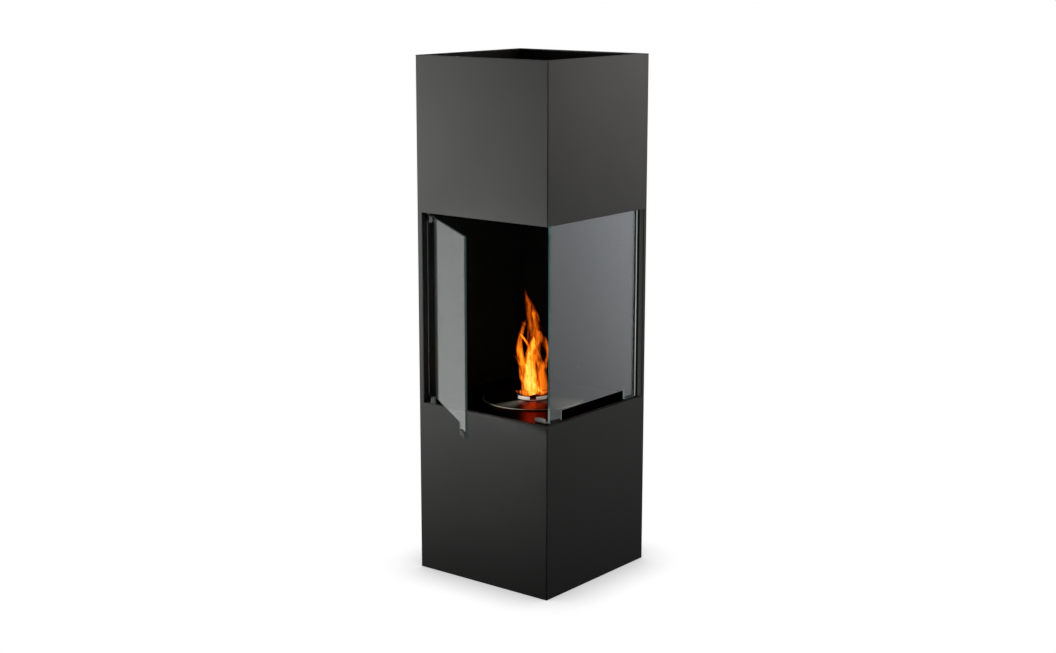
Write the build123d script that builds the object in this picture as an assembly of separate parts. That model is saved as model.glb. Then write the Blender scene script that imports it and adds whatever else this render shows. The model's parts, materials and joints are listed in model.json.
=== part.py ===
from build123d import *
import os

# A free-standing fireplace column of folded sheet steel, open at the top, with a window round one
# corner, a fixed pane, a hinged glass door and a burner that lifts out.
# Millimetres, +Z up. The origin is the middle of the foot. The front faces -Y, the fixed pane faces +X,
# and the door hangs on the left, at -X.

# ---------------------------------------------------------------- sizes that can be set by themselves

# outer shape
column_width = 385.0      # outside, across each face of the square plan
column_height = 1232.0
sheet = 2.0               # thickness of the folded steel
inner_bend = 0.5          # inside radius of every fold
wall = 12.0               # from an outer face to the inner edge of the folded lips
door_stile = 15.0         # from the left outer face to the jamb beside the door
seam = 0.2                # gap between the two outer sheets

# window round the front right corner
opening_bottom = 412.0    # height of its lower edge
opening_height = 456.0

# both panes
glass = 5.0               # thickness
glass_recess = 14.0       # from the outer face of the column to the outer face of a pane
notch_width = 250.0       # air gap cut into the lower edge
notch_height = 23.0
notch_radius = 2.0

# fixed pane
fixed_front_gap = 28.0    # from the front of the column to the pane's front edge
fixed_back_gap = 7.0      # from the pane's rear edge to the rear jamb
fixed_tuck = 24.0         # how far it reaches up behind the lintel
pad_thickness = 1.0       # soft pads under its two legs
gasket = 1.0              # soft strips each side of its clamped edge
clamp_bar = 3.0           # thickness of the bar that presses the pane to its rail
clamp_end_gap = 15.0      # from the pane's side edges to the ends of its rail and bar
rail_rise = 22.0          # how far the rail stands above the pane
glass_screw_count = 3
glass_hole_gap = 1.0      # radial, round a screw that passes through glass

# door pane
door_side_gap = 2.0       # when shut, from the left liner to the pane, behind the jamb
door_edge_gap = 1.0       # when shut, from its free edge to the outer face of the fixed pane, sideways
door_bottom_gap = 3.0     # from the floor to the pane's lower edge
door_top_gap = 5.0        # from the lintel to the pane's upper edge
axis_inset = 7.0          # from the pane's hinge edge to the axis
open_angle = 35.6         # how far the door stands open in the rest pose

# hinge clamps on the door pane
patch_width = 35.0
patch_height = 15.0
patch_plate = 2.0
patch_pad = 0.5
patch_overlap = 4.0       # how far a clamp reaches past the axis, towards the jamb
core_width = 19.0         # block between the plates, in the pane's corner cut-out
core_height = 9.0
core_gap = 0.5            # from the block to the glass
core_screw_x = 9.0        # from the axis to the screw through the block
pane_screw_x = 22.0       # from the axis to the screw through the glass
pin_radius = 2.5
pin_seat = 8.0            # how far a pin stands in its clamp
shoulder_radius = 4.5     # the thicker part of the lower pin, which stands on its bush
running_gap = 0.05        # radial clearance of pins and screws in their own bores
bush_wall = 1.5
bush_flange = 3.0         # how far a bush's flange stands out from its barrel
flange_thickness = 1.0
upper_bush_drop = 4.0     # below its bracket
bracket_width = 30.0
bracket_depth = 28.0
bracket_height = 34.0

# strike clip on the door's free corner, and the magnetic catch behind it
clip_length = 42.0
clip_height = 12.0
clip_sheet = 1.8
clip_pad_thickness = 0.5
clip_end_gap = 1.0        # from the pane's free edge to the clip
catch_gap = 0.7           # when shut, from the clip to the catch
catch_width = 31.0
catch_height = 11.5
catch_foot = 16.0
catch_sheet = 1.5
catch_screw_inset = 3.5   # from the sides of the foot
magnet_width = 16.0
magnet_depth = 7.0

# inside
liner = 1.5               # thickness of the black inner walls
edge_gap = 0.5            # round the edges of liners and floor
liner_margin = 45.0       # from a liner's edges to its spacers
spacer_radius = 4.0       # to the corners
floor_thickness = 4.0
rail_width = 30.0         # both legs of the floor rails
rail_end_gap = 50.0       # from the front and the back of the column to the rails
base_flange = 25.0        # height of the foot tray's upturned edge
tray_gap = 0.3            # from the tray to the outer sheets
angle_leg = 18.0          # legs of the angles that join the outer sheets
angle_margin = 30.0       # from those angles to what lies above and below them

# burner
disc_radius = 120.0
disc_sheet = 1.5
disc_height = 3.0         # top of the disc above the floor
lift_gap = 0.3            # between pieces that lift apart
tank_radius = 98.0
tank_depth = 90.0
tank_gap = 3.0            # from the tank to the hole in the floor
collar_radius = 34.0      # outside
collar_depth = 28.0       # below the disc
collar_rise = 4.0         # above the disc
ring_radius = 39.5        # outside
ring_thickness = 3.0
ring_height = 10.0
ring_base = 1.5
ring_gap_width = 15.0
ring_gap_count = 3
first_gap_angle = -51.0   # from +X towards +Y

# fasteners
stud_radius = 2.5         # studs welded inside the outer sheets
stud_length = 7.5
stud_margin = 30.0        # from the end of a rail or an angle to its first stud or screw
nut_radius = 4.6          # to the corners
nut_height = 4.0
hole_gap = 0.3            # radial, round studs and screws
screw_radius = 1.6
head_radius = 3.0
head_height = 1.8
clamp_screw_radius = 2.5  # screws that hold the fixed pane
clamp_head_radius = 4.5
clamp_head_height = 2.8

# ---------------------------------------------------------------- places worked out from them

left = front = -column_width / 2
right = back = column_width / 2
left_face = front_face = left + sheet     # inner faces of the outer sheets
right_face = back_face = right - sheet
far = 2 * column_height                   # longer than anything here, for cutting
up, down = (0, 0, 1), (0, 0, -1)
from_left, from_right, from_front, from_back = (1, 0, 0), (-1, 0, 0), (0, 1, 0), (0, -1, 0)

outer_bend = sheet + inner_bend
opening_top = opening_bottom + opening_height
opening_left = left + door_stile
floor_underside = opening_bottom - floor_thickness
floor_hole_radius = tank_radius + tank_gap

pane_x = right - glass_recess             # outer face of the fixed pane
fixed_front = front + fixed_front_gap
fixed_back = back - wall - fixed_back_gap
fixed_width = fixed_back - fixed_front
fixed_bottom = opening_bottom + pad_thickness
fixed_top = opening_top + fixed_tuck
rail_bottom = opening_top + sheet + 2 * edge_gap    # clear of the folded lintel
rail_top = fixed_top + rail_rise
clamp_z = (rail_bottom + fixed_top) / 2
clamp_ends = (fixed_front + clamp_end_gap, fixed_back - clamp_end_gap)
bar_face = pane_x - glass - gasket - clamp_bar

pane_y = front + glass_recess             # outer face of the door pane when shut
door_left = left + wall + door_side_gap
door_width = pane_x - door_edge_gap - door_left
door_bottom = opening_bottom + door_bottom_gap
door_top = opening_top - door_top_gap
axis_x = door_left + axis_inset
axis_y = pane_y + glass / 2
bush_radius = pin_radius + running_gap + bush_wall
patch_left = axis_x - patch_overlap
outer_plate_y = (pane_y - patch_pad - patch_plate, pane_y - patch_pad)
inner_plate_y = (pane_y + glass + patch_pad, pane_y + glass + patch_pad + patch_plate)

clip_right = door_left + door_width - clip_end_gap
clip_side = clip_pad_thickness + clip_sheet         # from the glass to a side face of the clip
catch_middle = clip_right - clip_length / 2
catch_face = pane_y + glass + clip_side + catch_gap
catch_top = opening_bottom + catch_height

liner_inset = wall - liner                # from the outer face of the column to the back of a liner
tall_liner = (opening_bottom, column_height - sheet - edge_gap)
short_liner = (rail_top + edge_gap, column_height - sheet - edge_gap)

disc_top = opening_bottom + disc_height
disc_underside = disc_top - disc_sheet
ring_bottom = disc_top + lift_gap

# ---------------------------------------------------------------- shapes used more than once


def block(x, y, z):
    # a plain block between the two values given for each direction
    size = (x[1] - x[0], y[1] - y[0], z[1] - z[0])
    return Pos(x[0], y[0], z[0]) * Box(*size, align=Align.MIN)


def plan(inset):
    # the column's square outline, moved inwards
    width = column_width - 2 * inset
    if outer_bend > inset:
        return RectangleRounded(width, width, outer_bend - inset)
    return Rectangle(width, width)


def prism(outline, heights):
    return extrude(Pos(0, 0, heights[0]) * outline, heights[1] - heights[0])


def rod(radius, start, direction, length):
    # a round bar that starts at a point and runs along a direction
    return Plane(start, z_dir=direction) * Cylinder(radius, length, align=(Align.CENTER, Align.CENTER, Align.MIN))


def turned(section):
    # a section drawn in the XZ plane, turned once round the upright axis
    return revolve(Plane.XZ * section, Axis.Z)


def folded(points, thickness, side=Side.LEFT):
    # section of a thin sheet folded along a line of points, with the metal on one side of the line
    line = FilletPolyline(*points, radius=thickness + inner_bend)
    return make_face(Wire(line.edges()).offset_2d(thickness, kind=Kind.INTERSECTION, side=side).edges())


def along_x(section, ends):
    # a section drawn in the YZ plane, stretched between two places on X
    return Pos(ends[0], 0, 0) * extrude(Plane.YZ * section, ends[1] - ends[0])


def along_y(section, ends):
    # a section drawn in the XZ plane, stretched between two places on Y
    return Pos(0, ends[1], 0) * extrude(Plane.XZ * section, ends[1] - ends[0])


def bent_edge():
    # section of a folded lip: a quarter bend up from (0, -outer_bend), then flat at height 0 to the wall's depth
    return make_face(Curve() + [
        RadiusArc((0, -outer_bend), (outer_bend, 0), outer_bend),
        Line((outer_bend, 0), (wall, 0)),
        Line((wall, 0), (wall, -sheet)),
        Line((wall, -sheet), (outer_bend, -sheet)),
        RadiusArc((outer_bend, -sheet), (sheet, -outer_bend), -inner_bend),
        Line((sheet, -outer_bend), (0, -outer_bend)),
    ])


def mitre(corner, before, after):
    # the plane in which two runs meet at a corner, facing along the path
    incoming = (Vector(corner) - Vector(before)).normalized()
    outgoing = (Vector(after) - Vector(corner)).normalized()
    return Plane(corner, z_dir=incoming + outgoing)


def lip(points, inwards):
    # a lip folded in along a closed path of edges, made of mitred runs that each have a direction inwards
    runs = []
    for index, inward in enumerate(inwards):
        before, start, end, after = [points[(index + step) % len(points)] for step in (-1, 0, 1, 2)]
        along = Vector(end) - Vector(start)
        section = Plane(start, x_dir=inward, z_dir=along) * bent_edge()
        run = extrude(section, along.length + wall) + extrude(section, -wall)
        run = split(run, bisect_by=mitre(start, before, end), keep=Keep.TOP)
        runs.append(split(run, bisect_by=mitre(end, start, after), keep=Keep.BOTTOM))
    return runs


def spread(ends, count):
    # evenly spaced places, the first and last at the two ends
    step = (ends[1] - ends[0]) / (count - 1)
    return [ends[0] + step * index for index in range(count)]


def shorter(ends, margin):
    return (ends[0] + margin, ends[1] - margin)


def moved(point, direction, distance):
    return Vector(point) + Vector(direction) * distance


def screw(point, direction, length, radius=screw_radius, head=head_radius, height=head_height):
    # a screw: the point is under its head, and the shank runs along the direction
    return rod(radius, point, direction, length) + rod(head, point, Vector(direction) * -1, height)


def hexagon(radius, point, direction, length):
    # a six-sided bar that starts at a point and runs along a direction
    return Plane(point, z_dir=direction) * extrude(RegularPolygon(radius, 6), length)


def nut(point, direction):
    bore = rod(stud_radius + running_gap, point, direction, nut_height)
    return hexagon(nut_radius, point, direction, nut_height) - bore


def save(solids, name):
    # one file for each sub-part; a group of like pieces stays a group of separate solids
    shape = Compound(children=solids) if isinstance(solids, list) else solids
    shape.label = name
    export_step(shape, f"parts/{name}.step")


# ---------------------------------------------------------------- fastening points inside the outer sheets

# each is a point on an inner face, with the direction inwards
lower_angle = shorter((base_flange, floor_underside - rail_width), angle_margin)
upper_angle = shorter((rail_top, column_height), angle_margin)
angle_heights = shorter(lower_angle, stud_margin) + shorter(upper_angle, stud_margin)
angle_middle = (angle_leg + sheet) / 2
angle_studs = [((left_face, front_face + angle_middle, z), from_left) for z in angle_heights]
angle_studs += [((right_face - angle_middle, back_face, z), from_back) for z in angle_heights]

tray_middle = (base_flange + sheet) / 2
rear_tray_studs = [((left_face, 0, tray_middle), from_left), ((0, back_face, tray_middle), from_back)]
front_tray_studs = [((right_face, 0, tray_middle), from_right), ((0, front_face, tray_middle), from_front)]

rail_ends = shorter((front, back), rail_end_gap)
rail_stud_z = floor_underside - rail_width / 2
left_rail_studs = [((left_face, y, rail_stud_z), from_left) for y in shorter(rail_ends, stud_margin)]
right_rail_studs = [((right_face, y, rail_stud_z), from_right) for y in shorter(rail_ends, stud_margin)]

bracket_ends = (left + wall + edge_gap, left + wall + edge_gap + bracket_width)
lower_tab = (floor_underside, floor_underside - bracket_height)
upper_tab = (rail_bottom, rail_bottom + bracket_height)
bracket_studs = [((sum(bracket_ends) / 2, front_face, sum(tab) / 2), from_front) for tab in (lower_tab, upper_tab)]

glass_screw_y = spread(shorter(clamp_ends, stud_margin), glass_screw_count)
glass_rail_studs = [((right_face, y, (fixed_top + rail_top) / 2), from_right) for y in glass_screw_y]

front_wrap_studs = front_tray_studs + right_rail_studs + bracket_studs + glass_rail_studs
rear_wrap_studs = rear_tray_studs + left_rail_studs + angle_studs

# the liners' spacers, in the same form
low_z, high_z = shorter(tall_liner, liner_margin)
across = shorter((left + wall, right - wall), liner_margin)
spots = [(0, low_z), (across[0], high_z), (across[1], high_z)]
liner_places = [((left_face, y, z), from_left) for y, z in spots]
liner_places += [((x, back_face, z), from_back) for x, z in spots]
liner_places += [((0, front_face, high_z), from_front), ((right_face, 0, high_z), from_right)]

catch_screw_reach = catch_width / 2 - catch_screw_inset
catch_screw_y = catch_face + (catch_foot + catch_sheet) / 2
catch_screw_z = opening_bottom + catch_sheet
catch_screw_places = [(catch_middle + side * catch_screw_reach, catch_screw_y, catch_screw_z) for side in (-1, 1)]


def studs(places):
    return [rod(stud_radius, point, direction, stud_length) for point, direction in places]


def stud_holes(places):
    # holes for the same studs in whatever lies against the outer sheets
    return [rod(stud_radius + hole_gap, point, direction, stud_length) for point, direction in places]


# ---------------------------------------------------------------- outer sheets


def outer_skin():
    # a square tube with a folded rim round its open top
    tube = prism(plan(0) - plan(sheet), (0, column_height - outer_bend))
    corners = [(x, y, column_height) for x, y in ((left, front), (right, front), (right, back), (left, back))]
    return trimmed(tube + lip(corners, [from_front, from_right, from_back, from_left]))


def trimmed(shape):
    # keeps the column's rounded upright corners
    return shape & prism(plan(0), (0, column_height))


def front_half():
    # everything on the front and right side of the diagonal through the two seamed corners
    corners = [(-far, -far - seam / 2), (far, far - seam / 2), (far, -far)]
    return prism(make_face(Polyline(*corners, close=True)), (-far, far))


def window_cut():
    # the window without its lips, whose bends start this far outside its clear edges
    return block(
        (opening_left - outer_bend, right + outer_bend),
        (front - outer_bend, back - wall + outer_bend),
        (opening_bottom - outer_bend, opening_top + outer_bend),
    )


def window_lip():
    # the ledge, the lintel and the two jambs: one lip folded in all the way round the window
    low = [(opening_left, front, opening_bottom), (right, front, opening_bottom), (right, back - wall, opening_bottom)]
    high = [(right, back - wall, opening_top), (right, front, opening_top), (opening_left, front, opening_top)]
    inwards = [from_front] + 3 * [from_right] + 2 * [from_front]
    return [trimmed(run) for run in lip(low + high, inwards)]


def front_wrap():
    return (outer_skin() & front_half()) - window_cut() + window_lip() + studs(front_wrap_studs)


def rear_wrap():
    return (outer_skin() & Rot(0, 0, 180) * front_half()) + studs(rear_wrap_studs)


def base_plate():
    # a tray that closes the foot, with its edge turned up against the outer sheets
    outside = prism(plan(sheet + tray_gap), (0, base_flange))
    inside = prism(plan(2 * sheet + tray_gap), (sheet, far))
    return outside - inside - stud_holes(front_tray_studs + rear_tray_studs)


def joining_angles():
    # upright angles in the two seamed corners, below the firebox and above the window
    line = [(left_face, front_face + angle_leg), (left_face, front_face), (left_face + angle_leg, front_face)]
    front_left = folded(line, sheet)
    back_right = mirror(front_left, Plane(origin=(0, 0, 0), z_dir=(1, 1, 0)))
    holes = stud_holes(angle_studs)
    return [prism(outline, z) - holes for outline in (front_left, back_right) for z in (lower_angle, upper_angle)]


def wrap_nuts():
    # one on every stud, standing on the sheet that the stud holds
    tray = [nut(moved(*stud, sheet + tray_gap), stud[1]) for stud in front_tray_studs + rear_tray_studs]
    others = right_rail_studs + bracket_studs + glass_rail_studs + left_rail_studs + angle_studs
    return tray + [nut(moved(*stud, sheet), stud[1]) for stud in others]


# ---------------------------------------------------------------- black inner walls and floor


def liner_holes():
    return [rod(screw_radius + hole_gap, point, direction, wall) for point, direction in liner_places]


def left_liner():
    x = (left + liner_inset, left + wall)
    return block(x, (front + wall + edge_gap, back - wall), tall_liner) - liner_holes()


def back_liner():
    x = (left + liner_inset, right - wall - edge_gap)
    return block(x, (back - wall, back - liner_inset), tall_liner) - liner_holes()


def upper_liner():
    # one sheet folded round the front right corner, above the window
    x, y = right - liner_inset, front + liner_inset
    line = [(left + wall + edge_gap, y), (x, y), (x, back - wall - edge_gap)]
    return prism(folded(line, liner), short_liner) - liner_holes()


def liner_spacers():
    # short six-sided tubes that hold the liners off the outer sheets
    length = liner_inset - sheet
    bore = screw_radius + running_gap
    return [hexagon(spacer_radius, *place, length) - rod(bore, *place, length) for place in liner_places]


def liner_screws():
    # six-sided heads lie on the liners, and the shanks end at the outer sheets
    length = wall - sheet
    shanks = [rod(screw_radius, *place, length) for place in liner_places]
    heads = [hexagon(head_radius, moved(*place, length), place[1], head_height) for place in liner_places]
    return [shank + head for shank, head in zip(shanks, heads)]


def firebox_floor():
    # a plain panel with the burner's round hole, a slot for the lower bush and the catch's two holes
    panel = block(
        (left_face + edge_gap, right - wall - edge_gap),
        (front + wall + edge_gap, back_face - edge_gap),
        (floor_underside, opening_bottom),
    )
    slot_radius = bush_radius + edge_gap
    slot_end = rod(slot_radius, (axis_x, axis_y, 0), up, far)
    slot = block((axis_x - slot_radius, axis_x + slot_radius), (front, axis_y), (0, far))
    return panel - rod(floor_hole_radius, (0, 0, 0), up, far) - slot_end - slot - catch_holes()


def floor_rail(corner_x, inwards, places):
    # an angle along one side, with the floor lying on its level leg
    line = [
        (corner_x, floor_underside - rail_width),
        (corner_x, floor_underside),
        (corner_x + inwards * rail_width, floor_underside),
    ]
    side = Side.RIGHT if inwards > 0 else Side.LEFT
    return along_y(folded(line, sheet, side), rail_ends) - stud_holes(places)


# ---------------------------------------------------------------- fixed pane and what holds it


def pane_outline(width, height):
    # a pane from its lower left corner, with the air notch in the middle of its lower edge
    notch = RectangleRounded(notch_width, 2 * notch_height, notch_radius)
    return Rectangle(width, height, align=Align.MIN) - Pos(width / 2, 0) * notch


def clamp_holes(radius):
    return [rod(radius, (bar_face, y, clamp_z), from_left, right_face - bar_face) for y in glass_screw_y]


def fixed_glass():
    outline = Pos(fixed_front, fixed_bottom) * pane_outline(fixed_width, fixed_top - fixed_bottom)
    return along_x(outline, (pane_x - glass, pane_x)) - clamp_holes(clamp_screw_radius + glass_hole_gap)


def glass_pads():
    leg = (fixed_width - notch_width) / 2
    legs = [(fixed_front, fixed_front + leg), (fixed_back - leg, fixed_back)]
    return [block((pane_x - glass, pane_x), y, (opening_bottom, fixed_bottom)) for y in legs]


def glass_rail():
    # a stepped strip: its upper edge is held to the outer sheet, and the pane hangs on its lower edge
    line = [
        (pane_x + gasket, rail_bottom),
        (pane_x + gasket, fixed_top),
        (right_face - sheet, fixed_top),
        (right_face - sheet, rail_top),
    ]
    strip = along_y(folded(line, sheet, Side.RIGHT), clamp_ends)
    return strip - stud_holes(glass_rail_studs) - clamp_holes(clamp_screw_radius + running_gap)


def clamped_strip(x):
    # a strip as high as the clamped edge of the pane
    return block(x, clamp_ends, (rail_bottom, fixed_top)) - clamp_holes(clamp_screw_radius + hole_gap)


def glass_gaskets():
    inner_face = pane_x - glass
    return [clamped_strip((pane_x, pane_x + gasket)), clamped_strip((inner_face - gasket, inner_face))]


def glass_bar():
    return clamped_strip((bar_face, bar_face + clamp_bar))


def glass_screws():
    length = clamp_bar + 2 * gasket + glass + sheet
    sizes = (clamp_screw_radius, clamp_head_radius, clamp_head_height)
    return [screw((bar_face, y, clamp_z), from_left, length, *sizes) for y in glass_screw_y]


# ---------------------------------------------------------------- what carries the door on the column


def hinge_bracket(tab):
    # a folded bracket: its upright leg is held to the front sheet, and its level leg holds a bush
    level, end = tab
    line = [(front_face, end), (front_face, level), (front_face + bracket_depth, level)]
    strip = along_x(folded(line, sheet, Side.LEFT if end > level else Side.RIGHT), bracket_ends)
    bore = rod(bush_radius + running_gap, (axis_x, axis_y, 0), up, far)
    return strip - bore - stud_holes(bracket_studs)


def bush(flange_z, barrel_length):
    # a flanged bush whose barrel hangs down from its flange
    barrel = rod(bush_radius, (axis_x, axis_y, flange_z), down, barrel_length)
    flange = rod(bush_radius + bush_flange, (axis_x, axis_y, flange_z), up, flange_thickness)
    return barrel + flange - rod(pin_radius + running_gap, (axis_x, axis_y, 0), up, far)


def lower_bush():
    return bush(opening_bottom, floor_thickness + sheet)


def upper_bush():
    return bush(rail_bottom + sheet, sheet + upper_bush_drop)


def catch_holes():
    return [rod(screw_radius + hole_gap, place, down, floor_thickness + sheet) for place in catch_screw_places]


def catch_bracket():
    line = [(catch_face, catch_top), (catch_face, opening_bottom), (catch_face + catch_foot, opening_bottom)]
    ends = (catch_middle - catch_width / 2, catch_middle + catch_width / 2)
    return along_x(folded(line, catch_sheet), ends) - catch_holes()


def catch_magnet():
    behind = catch_face + catch_sheet
    x = (catch_middle - magnet_width / 2, catch_middle + magnet_width / 2)
    return block(x, (behind, behind + magnet_depth), (catch_screw_z + inner_bend, catch_top))


def catch_screws():
    return [screw(place, down, catch_sheet + floor_thickness) for place in catch_screw_places]


# ---------------------------------------------------------------- door, made shut and then swung open


def swung(shape):
    return shape.rotate(Axis((axis_x, axis_y, 0), up), -open_angle)


def upside(shape):
    # the same piece for the upper end of the pane
    return mirror(shape, Plane(origin=(0, 0, (door_bottom + door_top) / 2), z_dir=up))


def patch(y):
    # a plate or pad of a lower hinge clamp, without its holes
    return block((patch_left, patch_left + patch_width), y, (door_bottom, door_bottom + patch_height))


def core(reach, gap):
    # the block in the pane's lower hinge corner, or the space for it when it is given a reach and a gap
    return block(
        (patch_left - reach, patch_left + core_width + gap),
        (outer_plate_y[1], inner_plate_y[0]),
        (door_bottom - reach, door_bottom + core_height + gap),
    )


def patch_holes(radius, start_y):
    # holes for the clamp's two screws, one through the block and one through the glass
    places = [(axis_x + core_screw_x, start_y, door_bottom + core_height / 2)]
    places += [(axis_x + pane_screw_x, start_y, door_bottom + patch_height / 2)]
    return [rod(radius, place, from_back, start_y - outer_plate_y[0] - patch_plate / 2) for place in places]


def hinge_clamp():
    # outer plate and block in one piece, with a bore for the pin
    holes = patch_holes(screw_radius + running_gap, inner_plate_y[1])
    pin_bore = rod(pin_radius + running_gap, (axis_x, axis_y, door_bottom), up, pin_seat)
    return patch(outer_plate_y) + core(0, 0) - holes - pin_bore


def clamp_plate():
    return patch(inner_plate_y) - patch_holes(screw_radius + hole_gap, inner_plate_y[1])


def clamp_pads():
    # soft pads between the plates and the glass, round the block
    sides = [(outer_plate_y[1], pane_y), (pane_y + glass, inner_plate_y[0])]
    space = core(patch_width, core_gap)
    holes = patch_holes(screw_radius + glass_hole_gap, inner_plate_y[1])
    return [patch(y) - space - holes for y in sides]


def clamp_screws():
    length = inner_plate_y[1] - outer_plate_y[0] - patch_plate / 2
    heads = [(axis_x + core_screw_x, inner_plate_y[1], door_bottom + core_height / 2)]
    heads += [(axis_x + pane_screw_x, inner_plate_y[1], door_bottom + patch_height / 2)]
    return [screw(head, from_back, length) for head in heads]


def lower_pin():
    # runs from the clamp down through the bush; its shoulder carries the door
    low = floor_underside - sheet
    shoulder_low = opening_bottom + flange_thickness + lift_gap
    pin = rod(pin_radius, (axis_x, axis_y, low), up, door_bottom + pin_seat - low)
    return pin + rod(shoulder_radius, (axis_x, axis_y, shoulder_low), up, door_bottom - shoulder_low)


def upper_pin():
    low = door_top - pin_seat
    return rod(pin_radius, (axis_x, axis_y, low), up, rail_bottom + sheet + flange_thickness - low)


def door_glass():
    outline = Pos(door_left, door_bottom) * pane_outline(door_width, door_top - door_bottom)
    pane = along_y(outline, (pane_y, pane_y + glass))
    corner = core(patch_width, core_gap)
    hole = patch_holes(screw_radius + glass_hole_gap, inner_plate_y[1])[1]
    return pane - corner - upside(corner) - hole - upside(hole)


def clip_section(inset):
    # the channel that wraps the pane's lower edge, between the clip's outer faces and the glass
    y = (pane_y - clip_side + inset, pane_y + glass + clip_side - inset)
    z = (door_bottom - clip_side + inset, door_bottom - clip_side + clip_height)
    return Pos(y[0], z[0]) * Rectangle(y[1] - y[0], z[1] - z[0], align=Align.MIN)


def strike_clip():
    section = clip_section(0) - clip_section(clip_sheet)
    return along_x(section, (clip_right - clip_length, clip_right))


def clip_pad():
    section = clip_section(clip_sheet) - clip_section(clip_side)
    return along_x(section, (clip_right - clip_length, clip_right))


# ---------------------------------------------------------------- burner


def burner_disc():
    # a flat disc with its rim turned down to the floor and a round mouth
    mouth = collar_radius + running_gap
    rim_bottom = opening_bottom + lift_gap
    plate = Pos(mouth, disc_underside) * Rectangle(disc_radius - mouth, disc_sheet, align=Align.MIN)
    rim = Rectangle(disc_sheet, disc_underside - rim_bottom, align=Align.MIN)
    return turned(plate + Pos(disc_radius - disc_sheet, rim_bottom) * rim)


def burner_tank():
    # a round vessel under the disc
    outside = Rectangle(tank_radius, tank_depth, align=Align.MIN)
    inside = Pos(0, disc_sheet) * Rectangle(tank_radius - disc_sheet, tank_depth, align=Align.MIN)
    return turned(Pos(0, disc_underside - tank_depth) * (outside - inside))


def mouth_collar():
    # the neck that leads from the mouth down into the vessel
    size = (disc_sheet, collar_depth + collar_rise)
    return turned(Pos(collar_radius - disc_sheet, disc_top - collar_depth) * Rectangle(*size, align=Align.MIN))


def burner_ring():
    # a low crown that stands round the mouth, on a thin base, with gaps in its wall
    ring_inner = collar_radius + lift_gap + running_gap
    base = Rectangle(ring_radius - ring_inner, ring_base, align=Align.MIN)
    crown = Pos(ring_radius - ring_inner - ring_thickness, 0) * Rectangle(ring_thickness, ring_height, align=Align.MIN)
    ring = turned(Pos(ring_inner, ring_bottom) * (base + crown))
    half_gap = ring_gap_width / 2
    gap = block((0, far), (-half_gap, half_gap), (ring_bottom + ring_base, far))
    angles = [first_gap_angle + 360 * index / ring_gap_count for index in range(ring_gap_count)]
    return ring - [Rot(0, 0, angle) * gap for angle in angles]


# ---------------------------------------------------------------- the whole part

os.makedirs("parts", exist_ok=True)

save(front_wrap(), "front_wrap")
save(rear_wrap(), "rear_wrap")
save(base_plate(), "base_plate")
save(joining_angles(), "joining_angles")
save(wrap_nuts(), "wrap_nuts")
save(left_liner(), "left_liner")
save(back_liner(), "back_liner")
save(upper_liner(), "upper_liner")
save(liner_spacers(), "liner_spacers")
save(liner_screws(), "liner_screws")
save(firebox_floor(), "firebox_floor")
save(floor_rail(left_face, 1, left_rail_studs), "left_floor_rail")
save(floor_rail(right_face, -1, right_rail_studs), "right_floor_rail")
save(fixed_glass(), "fixed_glass")
save(glass_pads(), "glass_pads")
save(glass_rail(), "glass_rail")
save(glass_bar(), "glass_bar")
save(glass_gaskets(), "glass_gaskets")
save(glass_screws(), "glass_screws")
save(hinge_bracket(lower_tab), "lower_hinge_bracket")
save(hinge_bracket(upper_tab), "upper_hinge_bracket")
save(lower_bush(), "lower_bush")
save(upper_bush(), "upper_bush")
save(catch_bracket(), "catch_bracket")
save(catch_magnet(), "catch_magnet")
save(catch_screws(), "catch_screws")

save(swung(door_glass()), "door_glass")
save(swung(hinge_clamp()), "lower_hinge_clamp")
save(swung(upside(hinge_clamp())), "upper_hinge_clamp")
save(swung(clamp_plate()), "lower_clamp_plate")
save(swung(upside(clamp_plate())), "upper_clamp_plate")
save([swung(pad) for pad in clamp_pads() + [upside(pad) for pad in clamp_pads()]], "clamp_pads")
save([swung(piece) for piece in clamp_screws() + [upside(piece) for piece in clamp_screws()]], "clamp_screws")
save(swung(lower_pin()), "lower_pin")
save(swung(upper_pin()), "upper_pin")
save(swung(strike_clip()), "strike_clip")
save(swung(clip_pad()), "clip_pad")

save(burner_disc(), "burner_disc")
save(burner_tank(), "burner_tank")
save(mouth_collar(), "mouth_collar")
save(burner_ring(), "burner_ring")
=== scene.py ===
import json
import math
import bmesh
import bpy
from mathutils import Matrix, Vector


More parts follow.
